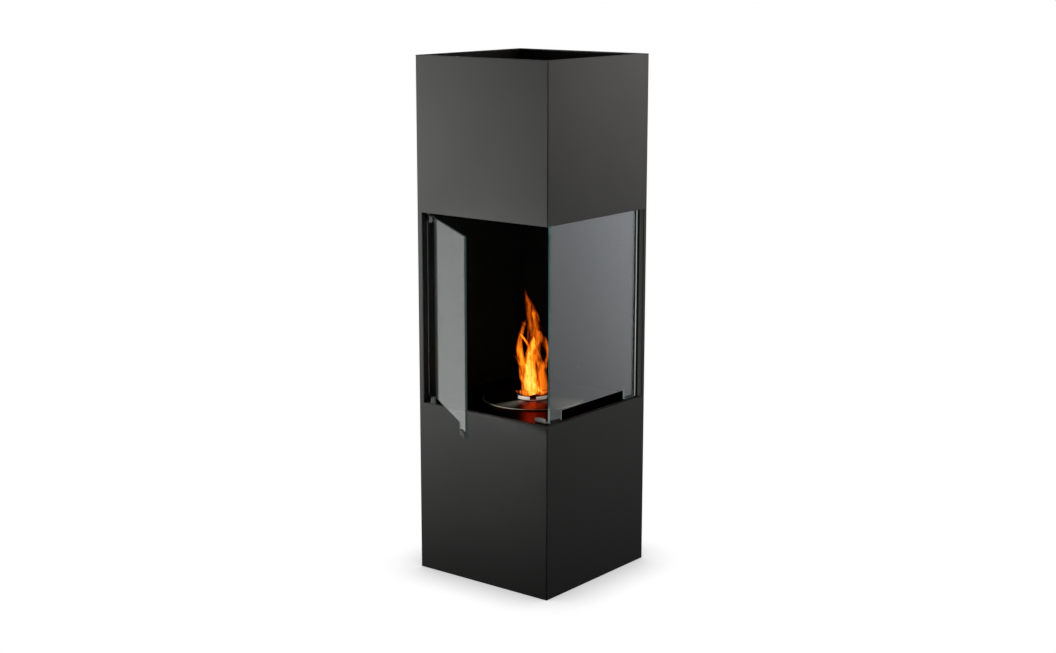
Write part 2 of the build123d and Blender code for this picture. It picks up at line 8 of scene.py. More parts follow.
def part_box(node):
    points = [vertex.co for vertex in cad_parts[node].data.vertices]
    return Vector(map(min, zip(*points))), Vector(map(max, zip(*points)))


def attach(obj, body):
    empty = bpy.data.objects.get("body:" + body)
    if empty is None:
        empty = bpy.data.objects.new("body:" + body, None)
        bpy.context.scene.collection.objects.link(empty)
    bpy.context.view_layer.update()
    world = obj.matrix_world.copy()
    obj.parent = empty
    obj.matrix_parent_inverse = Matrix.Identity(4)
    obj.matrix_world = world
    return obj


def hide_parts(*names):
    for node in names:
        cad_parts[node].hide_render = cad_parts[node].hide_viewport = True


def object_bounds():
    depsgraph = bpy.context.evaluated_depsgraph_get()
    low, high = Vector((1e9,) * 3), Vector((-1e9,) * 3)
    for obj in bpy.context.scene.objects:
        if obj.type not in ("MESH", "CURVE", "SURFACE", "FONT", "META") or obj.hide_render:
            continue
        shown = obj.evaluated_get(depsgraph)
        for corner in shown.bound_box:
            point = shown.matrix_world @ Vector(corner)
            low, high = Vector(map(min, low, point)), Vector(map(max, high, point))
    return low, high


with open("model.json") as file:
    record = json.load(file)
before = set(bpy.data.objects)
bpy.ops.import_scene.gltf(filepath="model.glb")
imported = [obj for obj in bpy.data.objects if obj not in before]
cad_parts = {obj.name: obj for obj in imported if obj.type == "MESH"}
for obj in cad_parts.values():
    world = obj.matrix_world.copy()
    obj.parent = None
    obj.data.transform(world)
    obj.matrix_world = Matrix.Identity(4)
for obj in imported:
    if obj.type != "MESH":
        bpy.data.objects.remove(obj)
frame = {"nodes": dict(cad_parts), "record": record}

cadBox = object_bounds()
black, white = (0, 0, 0), (1, 1, 1)
print("frame loaded")


# node helpers

class Term:
    # one socket's value, which can be added, multiplied and compared in plain expressions
    def __init__(self, nodes, socket):
        self.nodes = nodes
        self.socket = socket

    def combine(self, other, operation, flipped=False):
        first, second = (other, self) if flipped else (self, other)
        return self.nodes.node("ShaderNodeMath", {"operation": operation}, {0: first, 1: second})

    def __add__(self, other): return self.combine(other, "ADD")
    def __radd__(self, other): return self.combine(other, "ADD", True)
    def __sub__(self, other): return self.combine(other, "SUBTRACT")
    def __rsub__(self, other): return self.combine(other, "SUBTRACT", True)
    def __mul__(self, other): return self.combine(other, "MULTIPLY")
    def __rmul__(self, other): return self.combine(other, "MULTIPLY", True)
    def __truediv__(self, other): return self.combine(other, "DIVIDE")
    def __rtruediv__(self, other): return self.combine(other, "DIVIDE", True)
    def __pow__(self, other): return self.combine(other, "POWER")
    def __gt__(self, other): return self.combine(other, "GREATER_THAN")
    def __lt__(self, other): return self.combine(other, "LESS_THAN")


class Nodes:
    # a node tree whose nodes are all made by one method
    def __init__(self, tree):
        self.tree = tree
        self.tree.nodes.clear()

    def node(self, kind, settings=None, sockets=None, out=0):
        # a socket takes a number, a colour, a term, or a list of terms where it joins several
        made = self.tree.nodes.new(kind)
        for key, value in (settings or {}).items():
            if key == "stops":
                self.fillRamp(made.color_ramp, value)
            else:
                setattr(made, key, value)
        for key, value in (sockets or {}).items():
            socket = made.inputs[key]
            if isinstance(value, (Term, list)):
                for term in value if isinstance(value, list) else [value]:
                    self.tree.links.new(term.socket, socket)
            else:
                socket.default_value = (*value, 1) if socket.type == "RGBA" else value
        return Term(self, made.outputs[out]) if made.outputs else None

    def others(self, term, names):
        # the named outputs of the node that a term comes from
        return [Term(self, term.socket.node.outputs[name]) for name in names]

    def fillRamp(self, ramp, stops):
        ramp.elements.remove(ramp.elements[1])
        ramp.elements[0].position = stops[0][0]
        ramp.elements[0].color = (*stops[0][1], 1)
        for place, colour in stops[1:]:
            ramp.elements.new(place).color = (*colour, 1)


class Finish(Nodes):
    # a material, or the world
    def __init__(self, name, kept=bpy.data.materials):
        self.owner = kept.new(name)
        self.owner.use_nodes = True
        super().__init__(self.owner.node_tree)

    def parts(self, source, axes):
        # components of the place on the object, or of the way that its surface faces
        whole = self.node("ShaderNodeTexCoord", out=source)
        return self.others(self.node("ShaderNodeSeparateXYZ", {}, {0: whole}), axes)

    def stretched(self, scale=(1, 1, 1)):
        coords = self.node("ShaderNodeTexCoord", out="Object")
        return self.node("ShaderNodeMapping", {}, {"Vector": coords, "Scale": scale})

    def noise(self, scale, detail=3.0, rough=0.5, vector=None, out="Fac"):
        vector = vector or self.stretched()
        sockets = {"Vector": vector, "Scale": scale, "Detail": detail, "Roughness": rough}
        return self.node("ShaderNodeTexNoise", {}, sockets, out)

    def spread(self, value, low, high, toLow=0.0, toHigh=1.0):
        sockets = {"Value": value, "From Min": low, "From Max": high, "To Min": toLow, "To Max": toHigh}
        return self.node("ShaderNodeMapRange", {}, sockets)

    def level(self, noise, toLow=0.0, toHigh=1.0):
        # a noise, from the range that it mostly has to the two levels
        return self.spread(noise, 0.3, 0.7, toLow, toHigh)

    def ramp(self, value, stops):
        return self.node("ShaderNodeValToRGB", {"stops": stops}, {"Fac": value})

    def tint(self, factor, first, second, blend="MIX"):
        # inputs 6 and 7 and output 2 are the colours of a Mix node
        settings = {"data_type": "RGBA", "blend_type": blend}
        return self.node("ShaderNodeMix", settings, {0: factor, 6: first, 7: second}, out=2)

    def bump(self, height, strength, distance):
        return self.node("ShaderNodeBump", {}, {"Height": height, "Strength": strength, "Distance": distance})

    def plainlySeen(self):
        # 1 for what the camera sees straight or through glass
        rays = [self.node("ShaderNodeLightPath", out=name) for name in ("Is Camera Ray", "Is Transmission Ray")]
        return self.node("ShaderNodeMath", {"operation": "MAXIMUM"}, {0: rays[0], 1: rays[1]})

    def surface(self, **sockets):
        # a Principled shader, whose socket names have a space for each underscore
        sockets = {key.replace("_", " "): value for key, value in sockets.items()}
        shader = self.node("ShaderNodeBsdfPrincipled", {}, sockets)
        self.node("ShaderNodeOutputMaterial", {}, {"Surface": shader})
        return self.owner


# camera: the photograph's place and direction, with no shift

cameraSet = {
    "place": (2.5498, -3.2483, 1.4537),
    "yaw": 38.289,                         # degrees, left of +Y
    "pitch": -11.83,
    "roll": 0.03,
    "sensorWidth": 36,
    "focalPixels": 1769.0,
    "imageWidth": 1056,
    "clipEnd": 100,
}


def makeCamera(s):
    data = bpy.data.cameras.new("viewCamera")
    data.sensor_width = s["sensorWidth"]
    data.lens = data.sensor_width * s["focalPixels"] / s["imageWidth"]
    data.clip_end = s["clipEnd"]
    camera = bpy.data.objects.new("viewCamera", data)
    yaw, pitch, roll = [math.radians(angle) for angle in (s["yaw"], 90 + s["pitch"], s["roll"])]
    turn = Matrix.Rotation(yaw, 4, "Z") @ Matrix.Rotation(pitch, 4, "X") @ Matrix.Rotation(roll, 4, "Z")
    camera.matrix_world = Matrix.Translation(s["place"]) @ turn
    bpy.context.collection.objects.link(camera)
    bpy.context.scene.camera = camera


makeCamera(cameraSet)
bpy.context.scene.view_settings.view_transform = "Standard"
print("camera made")


# studio: pale floor, white surround, soft lights with grids

studioSet = {
    "floorSize": 14.0,
    "floorBounce": (0.05, 0.05, 0.05),     # what the floor gives back to the object
    "shadowReach": 0.13,
    "shadowFade": (0.5, 0.97),             # how open the floor is, from full shadow to none
    "shadowTone": 0.60,                    # the floor's level right under an edge
    "shadowSamples": 24,
    "worldFill": 0.025,
    "lamps": {
        # name: (place, aim, size, grid angle in degrees, watts, colour)
        "keyLamp": ((-3.59, -2.713, 1.2), (-0.6, 0.0, 0.945), 0.4, 28.8, 16.3, (1.0, 0.995, 0.985)),
        "sideLamp": ((3.388, 2.961, 1.2), (-0.5, 0.0, 1.60), 0.4, 46.0, 15.0, (1.0, 0.98, 0.96)),
        "topLamp": ((2.4, 1.3, 2.5), (0.19, 0.22, 1.44), 0.3, 20.0, 0.8, (1.0, 0.94, 0.85)),
        "rearLamp": ((-2.6, 2.9, 2.2), (0.0, 0.0, 0.7), 1.2, 90.0, 42.0, (1.0, 0.99, 0.98)),
    },
    "surround": [
        # degrees from +X, what gloss sees low down and higher up, its colour
        (-180, 0.33, 0.30, (1.0, 1.0, 1.0)), (-130, 0.80, 0.80, (1.0, 0.98, 0.95)),
        (-112, 1.20, 1.20, (1.0, 0.97, 0.92)), (-22, 1.20, 1.20, (1.0, 0.97, 0.92)),
        (20, 0.50, 0.50, (1.0, 1.0, 1.0)), (48, 0.21, 0.66, (0.94, 0.99, 1.03)),
        (52.5, 0.28, 1.12, (0.93, 0.99, 1.05)), (55.3, 0.78, 2.25, (0.93, 0.99, 1.05)),
        (60, 1.20, 2.45, (0.94, 0.99, 1.03)), (90, 0.90, 1.20, (0.97, 1.0, 1.02)),
        (130, 0.335, 0.180, (0.99, 1.0, 1.0)), (158, 0.335, 0.180, (0.99, 1.0, 1.0)),
        (180, 0.35, 0.30, (1.0, 1.0, 1.0)),
    ],
    "levelScale": 2.5,                     # what the surround's levels are divided by, and its strength
    "dips": (-0.25, -0.145),               # upward component of the two rows of levels
}


def makeLamp(name, place, aim, size, grid, watts, colour):
    data = bpy.data.lights.new(name, "AREA")
    data.shape = "SQUARE"
    data.size = size
    data.spread = math.radians(grid)
    data.energy = watts
    data.color = colour
    lamp = bpy.data.objects.new(name, data)
    lamp.location = place
    lamp.rotation_euler = (Vector(aim) - Vector(place)).to_track_quat("-Z", "Y").to_euler()
    lamp.visible_glossy = False
    bpy.context.collection.objects.link(lamp)


def makeWorld(s):
    # white to the eye, dim as a fill, and a ring of brighter and darker stretches to gloss
    sky = Finish("studioWorld", bpy.data.worlds)
    bpy.context.scene.world = sky.owner
    x, y, z = sky.parts("Object", "XYZ")
    turn = sky.node("ShaderNodeMath", {"operation": "ARCTAN2"}, {0: y, 1: x}) / (2 * math.pi) + 0.5
    lowStops, highStops = [], []
    for degrees, low, high, colour in s["surround"]:
        place = (degrees + 180) / 360
        lowStops.append((place, [low / s["levelScale"] * part for part in colour]))
        highStops.append((place, [high / s["levelScale"] * part for part in colour]))
    surround = sky.tint(sky.spread(z, *s["dips"]), sky.ramp(turn, lowStops), sky.ramp(turn, highStops))
    levels = [(white, s["worldFill"]), (surround, s["levelScale"]), (white, 1.0)]
    fill, gloss, plain = [sky.node("ShaderNodeBackground", {}, {"Color": colour, "Strength": level})
                          for colour, level in levels]
    glossy = sky.node("ShaderNodeLightPath", out="Is Glossy Ray")
    lit = sky.node("ShaderNodeMixShader", {}, {0: glossy, 1: fill, 2: gloss})
    lit = sky.node("ShaderNodeMixShader", {}, {0: sky.plainlySeen(), 1: lit, 2: plain})
    sky.node("ShaderNodeOutputWorld", {}, {"Surface": lit})


def makeFloor(s):
    half = s["floorSize"] / 2
    corners = [(-half, -half, 0), (half, -half, 0), (half, half, 0), (-half, half, 0)]
    mesh = bpy.data.meshes.new("studioFloor")
    mesh.from_pydata(corners, [], [(0, 1, 2, 3)])
    floor = bpy.data.objects.new("studioFloor", mesh)
    bpy.context.collection.objects.link(floor)
    paper = Finish("studioPaper")
    openness = paper.node("ShaderNodeAmbientOcclusion", {"samples": s["shadowSamples"]},
                          {"Distance": s["shadowReach"]}, out="AO")
    tone = paper.spread(openness, *s["shadowFade"], s["shadowTone"], 1.0)
    bounce = paper.node("ShaderNodeBsdfDiffuse", {}, {"Color": s["floorBounce"]})
    pale = paper.node("ShaderNodeEmission", {}, {"Color": white, "Strength": tone})
    mixed = paper.node("ShaderNodeMixShader", {}, {0: paper.plainlySeen(), 1: bounce, 2: pale})
    paper.node("ShaderNodeOutputMaterial", {}, {"Surface": mixed})
    mesh.materials.append(paper.owner)
    floor.visible_glossy = False


makeWorld(studioSet)
makeFloor(studioSet)
for name, values in studioSet["lamps"].items():
    makeLamp(name, *values)
print("studio made")


# finishes; a scale is a noise's own, and each bump has its strength and its depth in metres

squarely = 0.9             # how nearly a face has to point a way to be taken for one that does

outerPaintSet = {
    "cloudScale": 5.0,
    "grainScale": 900.0,
    "peelScale": 260.0,
    "tones": [(0.0610, 0.0608, 0.0606), (0.0670, 0.0668, 0.0666)],
    "speckTone": (0.089, 0.0885, 0.088),
    "speckShare": 0.35,
    "roughness": (0.46, 0.54),
    "gloss": 0.015,
    "bump": (0.10, 0.0004),
    "foldsFrom": 0.17,                     # metres from the middle to the folded lips
    "sillsBelow": 0.5,                     # metres up
    "paintedShade": (0.002, 0.002, 0.002),        # painted shade on the left jamb and the sills
    "paintedShadeShare": 0.65,
    "jambPaintedLight": [(0.040, 0.041, 0.036), (0.026, 0.026, 0.025)],    # painted light on the rear jamb, inside and outside
    "jambDepth": (0.179, 0.190),           # metres from the middle to those two
}


def makeOuterPaint(s):
    # satin paint with a fine grain, on the outer sheets and the lips that are folded in round the window;
    # painted shade on the left jamb and the sills, painted light on the rear jamb
    f = Finish("outerPaint")
    cloud, grain, peel = f.noise(s["cloudScale"]), f.noise(s["grainScale"], 2.0), f.noise(s["peelScale"], 2.0)
    colour = f.tint(f.level(cloud), *s["tones"])
    colour = f.tint(f.spread(grain, 0.35, 0.7, 0.0, s["speckShare"]), colour, s["speckTone"])
    x, y, z = f.parts("Object", "XYZ")
    facingX, facingY, facingZ = f.parts("Normal", "XYZ")
    rearJamb = (y > s["foldsFrom"]) * (x > s["foldsFrom"]) * (facingY < -squarely)
    leftJamb = (x < -s["foldsFrom"]) * (facingX > squarely)
    sills = (z < s["sillsBelow"]) * (facingZ > squarely)
    # painted shade: the left jamb and the sills darkened where little light reaches them
    colour = f.tint((leftJamb + sills) * s["paintedShadeShare"], colour, s["paintedShade"])
    # painted light: an emission along the rear jamb, lighter further inside
    glow = f.tint(rearJamb, black, f.tint(f.spread(x, *s["jambDepth"]), *s["jambPaintedLight"]))
    return f.surface(Base_Color=colour, Roughness=f.level(cloud, *s["roughness"]),
                     Specular_IOR_Level=s["gloss"], Normal=f.bump(grain * 0.4 + peel * 0.6, *s["bump"]),
                     Emission_Color=glow, Emission_Strength=1.0)


innerPaintSet = {
    "cloudScale": 6.0,
    "grainScale": 700.0,
    "tones": [(0.0035, 0.0034, 0.0034), (0.006, 0.0058, 0.0056)],
    "roughness": (0.26, 0.36),
    "gloss": 0.09,
    "bump": (0.1, 0.0004),
}


def makeInnerPaint(s):
    f = Finish("innerPaint")
    cloud, grain = f.noise(s["cloudScale"], 4.0), f.noise(s["grainScale"], 2.0)
    return f.surface(Base_Color=f.tint(f.level(cloud), *s["tones"]), Roughness=f.level(cloud, *s["roughness"]),
                     Specular_IOR_Level=s["gloss"], Normal=f.bump(grain, *s["bump"]))


floorGlossSet = {
    "smearScale": 7.0,
    "tones": [(0.016, 0.014, 0.014), (0.022, 0.020, 0.020)],
    "roughness": (0.17, 0.25),
    "lowTint": (0.48, 0.335, 0.32),        # what it shows when seen from low down
}


def makeFloorGloss(s):
    f = Finish("floorGloss")
    smear = f.noise(s["smearScale"], 4.0, 0.6)
    return f.surface(Base_Color=f.tint(smear, *s["tones"]), Metallic=1.0,
                     Roughness=f.spread(smear, 0.3, 0.75, *s["roughness"]), Specular_Tint=s["lowTint"])


glassSet = {
    "wipeScale": 4.0,
    "wipeStretch": (1, 1, 0.35),
    "tones": [(0.94, 0.97, 0.96), (0.96, 0.985, 0.98)],
    "refraction": 1.5,
}


def makeGlass(s):
    f = Finish("paneGlass")
    wipe = f.noise(s["wipeScale"], 4.0, 0.6, f.stretched(s["wipeStretch"]))
    return f.surface(Base_Color=f.tint(f.level(wipe), *s["tones"]), Roughness=0.0,
                     Transmission_Weight=1.0, IOR=s["refraction"])


glassEdgeSet = {
    "rippleScale": 60.0,
    "roughness": 0.16,
    "gloss": 0.35,
    "fixedPaneFrom": 0.15,                 # metres to the right of the middle, past the door at rest
    "lowFade": (0.452, 0.446),             # metres up, from none to all of the painted shine by the floor
    "edges": {
        # material: (dark and light tone, share of it given as painted light from inside the pane, painted shine
        # by the floor)
        "paneEdge": ((0.025, 0.105, 0.10), (0.05, 0.15, 0.14), 0.0, (0.12, 0.14, 0.13)),
        # the rear edge's pale tones are painted light that the pane carries to it
        "paneRearEdgePaintedLight": ((0.25, 0.27, 0.26), (0.33, 0.35, 0.34), 1.0, black),
        "paneHingeEdgePaintedLight": ((0.10, 0.11, 0.11), (0.14, 0.15, 0.15), 0.3, black),
    },
}


def makeGlassEdge(s, name):
    # a ground and polished edge; its emission is painted light for light that runs along inside the pane,
    # and painted shine for what the fixed pane's edges catch close to the floor
    dark, light, share, paintedShine = s["edges"][name]
    f = Finish(name)
    ripple = f.noise(s["rippleScale"], 2.0)
    x, z = f.parts("Object", "XZ")
    # painted shine low on the fixed pane's edges, and painted light from inside the pane
    low = (x > s["fixedPaneFrom"]) * f.spread(z, *s["lowFade"])
    inside = f.tint(ripple, *[tuple(part * share for part in tone) for tone in (dark, light)])
    return f.surface(Base_Color=f.tint(ripple, dark, light), Roughness=s["roughness"],
                     Specular_IOR_Level=s["gloss"],
                     Emission_Color=f.tint(low, inside, paintedShine, "ADD"), Emission_Strength=1.0)


steelSet = {
    "brushScale": 120.0,
    "brushStretch": (1, 1, 40),
    "stainScale": 25.0,
    "stainShare": 0.3,
    "roughnessChange": 0.06,
    "bump": (0.05, 0.0002),
    "kinds": {
        # material: (light tone, dark tone, roughness)
        "satinStainless": ((0.62, 0.61, 0.59), (0.42, 0.41, 0.40), 0.26),
        "hingeSteel": ((0.20, 0.20, 0.20), (0.12, 0.12, 0.12), 0.3),
        "catchSteel": ((0.22, 0.22, 0.215), (0.16, 0.16, 0.155), 0.5),
        "zincPlate": ((0.26, 0.265, 0.28), (0.18, 0.185, 0.20), 0.42),
        "turnedBrass": ((0.75, 0.56, 0.26), (0.55, 0.39, 0.16), 0.25),
        "magnetGrey": ((0.09, 0.09, 0.095), (0.05, 0.05, 0.055), 0.5),
    },
}


def makeSteel(s, name):
    # brushed along level lines, with faint stains
    light, dark, rough = s["kinds"][name]
    f = Finish(name)
    brush = f.noise(s["brushScale"], 3.0, 0.6, f.stretched(s["brushStretch"]))
    stain = f.spread(f.noise(s["stainScale"]), 0.4, 0.7, 0.0, s["stainShare"])
    change = s["roughnessChange"]
    return f.surface(Base_Color=f.tint(stain, f.tint(brush, light, dark), dark), Metallic=1.0,
                     Roughness=f.level(brush, rough - change, rough + change), Normal=f.bump(brush, *s["bump"]))


discSteelSet = {
    "turningScale": 1400.0,
    "stainScale": 18.0,
    "tones": [(0.028, 0.027, 0.024), (0.050, 0.048, 0.042)],
    "heatTone": (0.15, 0.020, 0.015),
    "heatFade": (0.045, 0.100, 0.9, 0.0),      # metres from the middle, then the heat tone's shares there
    "stainTone": (0.03, 0.028, 0.026),
    "stainShare": 0.3,
    # painted shade: the rim darkened so that its own reflection stays dim
    "rimPaintedShade": (0.006, 0.006, 0.0055),
    "rimFrom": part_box("burner_disc")[1].x - 0.0007,
    "rimFacing": 0.15,                         # how much a face looks up to be rim, and not the side below it
    "metal": 0.95,
    "roughness": (0.16, 0.26),
    "lowTint": (0.64, 0.41, 0.395),
    "bump": (0.05, 0.0002),
    # painted highlights: their colour, and a painted glow all round the rim
    "paintedHighlightTone": (1.0, 0.93, 0.72),
    "rimPaintedGlow": 0.04,
    # painted highlights: turn and half width in degrees, then the level, which a fan has by the mouth and by
    # the rim
    "paintedFans": [(-90, 19, 0.17, 0.05), (3, 32, 0.03, 0.085)],
    "paintedRims": [(-84, 27, 0.60), (3, 32, 0.28)],
    "fanReach": (0.045, 0.115),                # metres from the middle to a fan's two levels
    "fullWidth": 4,                            # degrees to each side at which a fan or rim is brightest
}


def makeDiscSteel(s):
    # steel turned on a wheel: fine rings round the middle, a red brown tint from the heat near the mouth,
    # and painted highlights as a fan and a stretch of rim on two sides, over a rim darkened as painted shade
    f = Finish("discSteel")
    x, y = f.parts("Object", "XY")
    reach = (x * x + y * y) ** 0.5
    rings = f.node("ShaderNodeTexNoise", {"noise_dimensions": "1D"},
                   {"W": reach * s["turningScale"], "Scale": 1.0, "Detail": 4.0})
    facingUp = f.parts("Normal", "Z")[0]
    onRim = (reach > s["rimFrom"]) * (facingUp > s["rimFacing"])

    def sector(turn, width, top):
        turn = math.radians(turn)
        along = (x * math.cos(turn) + y * math.sin(turn)) / (reach + 0.001)    # never over zero
        outer, inner = [math.cos(math.radians(angle)) for angle in (width, s["fullWidth"])]
        return f.spread(along, outer, inner, 0.0, top)

    # painted highlights: a glow round the rim, fans along the grooves, and stretches of rim
    paintedShine = onRim * s["rimPaintedGlow"]
    grooves = f.level(rings, 0.35, 1.0)
    for turn, width, nearMouth, nearRim in s["paintedFans"]:
        paintedShine = paintedShine + sector(turn, width, 1.0) * grooves * f.spread(reach, *s["fanReach"], nearMouth, nearRim)
    for turn, width, level in s["paintedRims"]:
        paintedShine = paintedShine + sector(turn, width, level) * onRim
    colour = f.tint(f.spread(reach, *s["heatFade"]), f.tint(rings, *s["tones"]), s["heatTone"])
    stain = f.spread(f.noise(s["stainScale"], 4.0), 0.4, 0.75, 0.0, s["stainShare"])
    # painted shade on the rim, under the stains
    colour = f.tint(stain, f.tint(onRim, colour, s["rimPaintedShade"]), s["stainTone"])
    return f.surface(Base_Color=colour, Metallic=s["metal"], Roughness=f.level(rings, *s["roughness"]),
                     Specular_Tint=s["lowTint"], Normal=f.bump(rings, *s["bump"]),
                     Emission_Color=f.tint(paintedShine, black, s["paintedHighlightTone"]), Emission_Strength=1.0)


ringSteelSet = {
    "wipeScale": 60.0,
    "tones": [(0.20, 0.185, 0.165), (0.28, 0.265, 0.24)],
    "metal": 0.9,
    "roughness": (0.16, 0.26),
    # painted highlight: its tones, the way it faces, its fade from left to right, and where it starts
    "shineTones": [(0.86, 0.79, 0.68), (1.0, 0.93, 0.80)],
    "shineTurn": -51.9,                            # degrees from +X
    "shineWidth": (67, 56),                        # degrees to each side, from none to all of it
    "shineFade": (-0.028, 0.006, 0.64, 0.17),      # from the left side to the right, and the levels there
    "shineFrom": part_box("burner_ring")[0].z + 0.0020,
    "shineBlur": 0.0006,
    "shineReach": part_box("burner_ring")[1].x - 0.0015,
}


def makeRingSteel(s):
    # polished: a painted highlight on the side towards the open corner of the window, the rest shows the black
    # walls
    f = Finish("ringSteel")
    x, y, z = f.parts("Object", "XYZ")
    facingX, facingY = f.parts("Normal", "XY")
    turn = math.radians(s["shineTurn"])
    side = turn + math.pi / 2
    towards = facingX * math.cos(turn) + facingY * math.sin(turn)
    across = x * math.cos(side) + y * math.sin(side)
    outside = (x * x + y * y) ** 0.5 > s["shineReach"]
    # painted highlight, by facing, height, reach and side
    paintedShine = f.spread(towards, *[math.cos(math.radians(angle)) for angle in s["shineWidth"]])
    paintedShine = paintedShine * f.spread(z, s["shineFrom"] - s["shineBlur"], s["shineFrom"] + s["shineBlur"]) * outside
    paintedShine = paintedShine * f.spread(across, *s["shineFade"])
    wipe = f.noise(s["wipeScale"])
    return f.surface(Base_Color=f.tint(wipe, *s["tones"]), Metallic=s["metal"],
                     Roughness=f.level(wipe, *s["roughness"]),
                     Emission_Color=f.tint(paintedShine, black, f.tint(wipe, *s["shineTones"])), Emission_Strength=1.0)


grainedSet = {
    # material: (noise scale, dark and light tone, roughness, metal, bump)
    "softPad": (500.0, (0.012, 0.012, 0.012), (0.025, 0.024, 0.024), 0.75, 0.0, (0.2, 0.0003)),
    "clipPaint": (600.0, (0.05, 0.05, 0.05), (0.075, 0.075, 0.075), 0.35, 0.4, (0.08, 0.0003)),
}


def makeGrained(s, name):
    scale, dark, light, rough, metal, bump = s[name]
    f = Finish(name)
    grain = f.noise(scale, 2.0)
    return f.surface(Base_Color=f.tint(grain, dark, light), Roughness=rough, Metallic=metal,
                     Normal=f.bump(grain, *bump))


finishes = {
    # the record's slot: its material
    "outer_paint": makeOuterPaint(outerPaintSet),
    "inner_paint": makeInnerPaint(innerPaintSet),
    "floor_gloss": makeFloorGloss(floorGlossSet),
    "pane": makeGlass(glassSet),
    "stainless": makeSteel(steelSet, "satinStainless"),
    "hinge_metal": makeSteel(steelSet, "hingeSteel"),
    "clip_metal": makeGrained(grainedSet, "clipPaint"),
    "zinc": makeSteel(steelSet, "zincPlate"),
    "soft_pad": makeGrained(grainedSet, "softPad"),
    "bush_brass": makeSteel(steelSet, "turnedBrass"),
    "magnet": makeSteel(steelSet, "magnetGrey"),
}
edgeFinishes = {name: makeGlassEdge(glassEdgeSet, name) for name in glassEdgeSet["edges"]}
discSteel = makeDiscSteel(discSteelSet)
ownFinishes = {
    # nodes whose look differs from the rest of their slot
    "burner_disc": discSteel,
    "burner_ring": makeRingSteel(ringSteelSet),
    "mouth_collar": discSteel,
    "catch_bracket": makeSteel(steelSet, "catchSteel"),
}
for part in frame["record"]["subparts"]:
    materials = frame["nodes"][part["node"]].data.materials
    materials.clear()
    materials.append(ownFinishes.get(part["node"], finishes[part["material_slot"]]))
print("finishes made")


# pieces made from the solids

mergeReach = 0.000002      # metres; a solid's mesh is loose triangles
sameWay = 0.99             # two directions are one where their product is above this
endReach = 0.0001          # metres; how far from a pane's end a face may lie to be on it


def copyOf(nodeName):
    # a merged copy of a solid
    shape = bmesh.new()
    shape.from_mesh(frame["nodes"][nodeName].data)
    bmesh.ops.remove_doubles(shape, verts=shape.verts, dist=mergeReach)
    shape.normal_update()
    return shape


def addPiece(name, shape, materials, body, slotName, *replaced):
    mesh = bpy.data.meshes.new(name)
    shape.to_mesh(mesh)
    shape.free()
    for material in materials:
        mesh.materials.append(material)
    piece = bpy.data.objects.new(name, mesh)
    bpy.context.collection.objects.link(piece)
    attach(piece, body)
    if replaced:
        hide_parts(*replaced)
    return piece


# panes: the solid panes with their edges ground and polished

paneSet = {
    # node: (body, finish of the edge away from the window's corner, with painted light for the light that runs
    # to it)
    "fixed_glass": ("column", "paneRearEdgePaintedLight"),
    "door_glass": ("door", "paneHingeEdgePaintedLight"),
}


def makePane(nodeName, body, farEdge):
    shape = copyOf(nodeName)
    flat = max(shape.faces, key=lambda face: face.calc_area()).normal.copy()
    middle = sum(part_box(nodeName), Vector()) / 2
    windowCorner = Vector((cadBox[1][0], cadBox[0][1], middle.z))
    away = flat.cross(Vector((0, 0, 1)))
    away *= math.copysign(1, away.dot(middle - windowCorner))
    end = max(vert.co.dot(away) for vert in shape.verts) - endReach
    for face in shape.faces:
        onFlat = abs(face.normal.dot(flat)) > sameWay
        atEnd = face.calc_center_median().dot(away) > end
        face.material_index = 0 if onFlat else 2 if atEnd else 1
    materials = [finishes["pane"], edgeFinishes["paneEdge"], edgeFinishes[farEdge]]
    addPiece(nodeName + "Pane", shape, materials, body, "pane", nodeName)


for name, (body, farEdge) in paneSet.items():
    makePane(name, body, farEdge)
print("panes made")


# metal pieces whose edges catch the light

edgeSet = {
    # node: (body, slot, edge radius)
    "burner_ring": ("ring", "stainless", 0.0005),
    "mouth_collar": ("burner", "stainless", 0.0004),
    "catch_bracket": ("column", "stainless", 0.0003),
    "strike_clip": ("door", "clip_metal", 0.0004),
    "lower_hinge_clamp": ("door", "hinge_metal", 0.0004),
    "upper_hinge_clamp": ("door", "hinge_metal", 0.0004),
    "lower_clamp_plate": ("door", "hinge_metal", 0.0004),
    "upper_clamp_plate": ("door", "hinge_metal", 0.0004),
}
flatAngle = math.radians(0.5)      # flatter than this, two triangles are one face
edgeAngle = math.radians(40)       # sharper than this, an edge is an edge
edgeSegments = 2


def softenEdges(nodeName, body, slotName, radius):
    shape = copyOf(nodeName)
    bmesh.ops.dissolve_limit(shape, angle_limit=flatAngle, verts=shape.verts, edges=shape.edges)
    for face in shape.faces:
        face.smooth = True
    finish = ownFinishes.get(nodeName, finishes[slotName])
    piece = addPiece(nodeName + "Soft", shape, [finish], body, slotName, nodeName)
    bevel = piece.modifiers.new("edges", "BEVEL")
    bevel.width = radius
    bevel.segments = edgeSegments
    bevel.limit_method = "ANGLE"
    bevel.angle_limit = edgeAngle
    bevel.harden_normals = True


for name, values in edgeSet.items():
    softenEdges(name, *values)


# the burner's disc, turned from a profile with a rounded rim

discSet = {
    "sheet": 0.0015,
    "rimRadius": 0.0006,
    "mouthGap": 0.00005,       # between the disc and the collar in its mouth
    "turnSteps": 160,
    "cornerSteps": 5,
}


